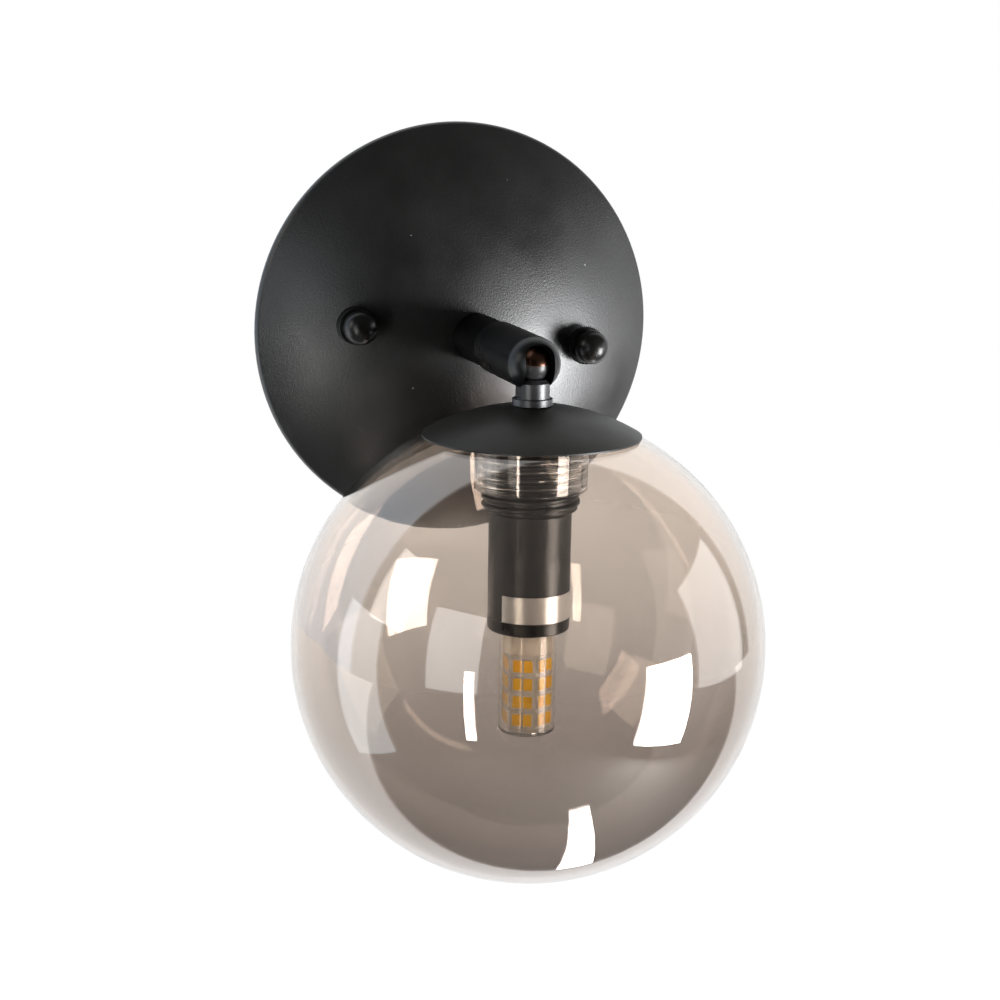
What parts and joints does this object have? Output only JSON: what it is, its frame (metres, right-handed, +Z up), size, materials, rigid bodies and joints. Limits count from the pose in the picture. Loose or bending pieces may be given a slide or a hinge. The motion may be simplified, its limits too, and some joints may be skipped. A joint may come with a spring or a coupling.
{
  "type": "globe wall sconce",
  "caption": "Wall light with a round domed backplate, a short arm with a tilting ball knuckle and a smoked glass globe over a plug-in lamp.",
  "frame": {"origin": "centre of the round backplate and of the crossbar's cable hole, on the wall plane", "axes": "+Y into the wall, front towards -Y, +Z up, +X to the right seen from the front"},
  "size_m": [0.14, 0.148, 0.219],
  "materials": {
    "black_powder_coat": "matte, fine grain",
    "black_satin_paint": "satin",
    "black_gloss_paint": "gloss",
    "dark_bronze": "polished, dark",
    "zinc_steel": "zinc plated",
    "brass": "machined",
    "block_plastic": "satin",
    "lead_sheath": "satin",
    "earth_sheath": "satin",
    "black_nylon": "matte",
    "silicone": "matte, translucent",
    "holder_black": "satin",
    "ceramic": "unglazed",
    "label_foil": "bare foil",
    "smoke_glass": "clear smoke tint",
    "lamp_white": "satin",
    "pin_wire": "drawn wire",
    "led_board": "satin",
    "led_phosphor": "satin",
    "clear_plastic": "clear"
  },
  "bodies": {
    "wall_mount": {"backplate": "black_powder_coat", "wall_crossbar": "zinc_steel", "canopy_studs": "zinc_steel", "stud_nuts": "zinc_steel", "earth_washer": "zinc_steel", "earth_screw": "brass", "earth_lead": "earth_sheath", "terminal_block": "block_plastic", "terminal_tubes": "brass", "terminal_screws": "brass", "block_screw": "zinc_steel", "supply_leads": "lead_sheath", "arm_nipple": "zinc_steel", "arm_washer": "zinc_steel", "arm_lock_nut": "zinc_steel", "arm_tube": "black_powder_coat", "swivel_grub_screw": "zinc_steel", "swivel_washer": "black_nylon"},
    "knuckle": {"knuckle_housing": "black_satin_paint", "knuckle_spigot": "zinc_steel", "disc_springs": "zinc_steel", "ball_seat": "black_nylon"},
    "head": {"pivot_ball": "dark_bronze", "ball_stem": "black_satin_paint", "globe_cap": "black_powder_coat", "cap_washer": "zinc_steel", "shank_nut": "zinc_steel", "neck_gasket": "silicone", "lampholder_sleeve": "holder_black", "lampholder_core": "ceramic", "lampholder_contacts": "brass", "holder_end_ring": "holder_black", "ring_screws": "zinc_steel", "rating_label": "label_foil", "head_leads": "lead_sheath"},
    "globe": {"glass_globe": "smoke_glass"},
    "lamp": {"bulb_base": "lamp_white", "bulb_pins": "pin_wire", "led_core": "led_board", "led_chips": "led_phosphor", "bulb_cover": "clear_plastic"},
    "left_nut": {"ball_nut_left": "black_gloss_paint"},
    "right_nut": {"ball_nut_right": "black_gloss_paint"}
  },
  "joints": [
    {"name": "arm_swivel", "type": "hinge", "parent": "wall_mount", "child": "knuckle", "pos_m": [0, -0.046, 0], "axis": [0, -1, 0], "range_deg": [-45, 45]},
    {"name": "head_tilt", "type": "hinge", "parent": "knuckle", "child": "head", "pos_m": [0, -0.078, 0], "axis": [-1, 0, 0], "range_deg": [0, 90]},
    {"name": "globe_turn", "type": "hinge", "parent": "head", "child": "globe", "pos_m": [0, -0.078, -0.084], "axis": [0, 0, 1], "range_deg": [0, 360]},
    {"name": "lamp_pull", "type": "slide", "parent": "head", "child": "lamp", "axis": [0, 0, -1], "range_m": [0, 0.014]},
    {"name": "left_nut_turn", "type": "hinge", "parent": "wall_mount", "child": "left_nut", "pos_m": [-0.03762, -0.026, 0.00415], "axis": [0, -1, 0], "range_deg": [0, 360]},
    {"name": "right_nut_turn", "type": "hinge", "parent": "wall_mount", "child": "right_nut", "pos_m": [0.03762, -0.026, -0.00415], "axis": [0, -1, 0], "range_deg": [0, 360]}
  ]
}
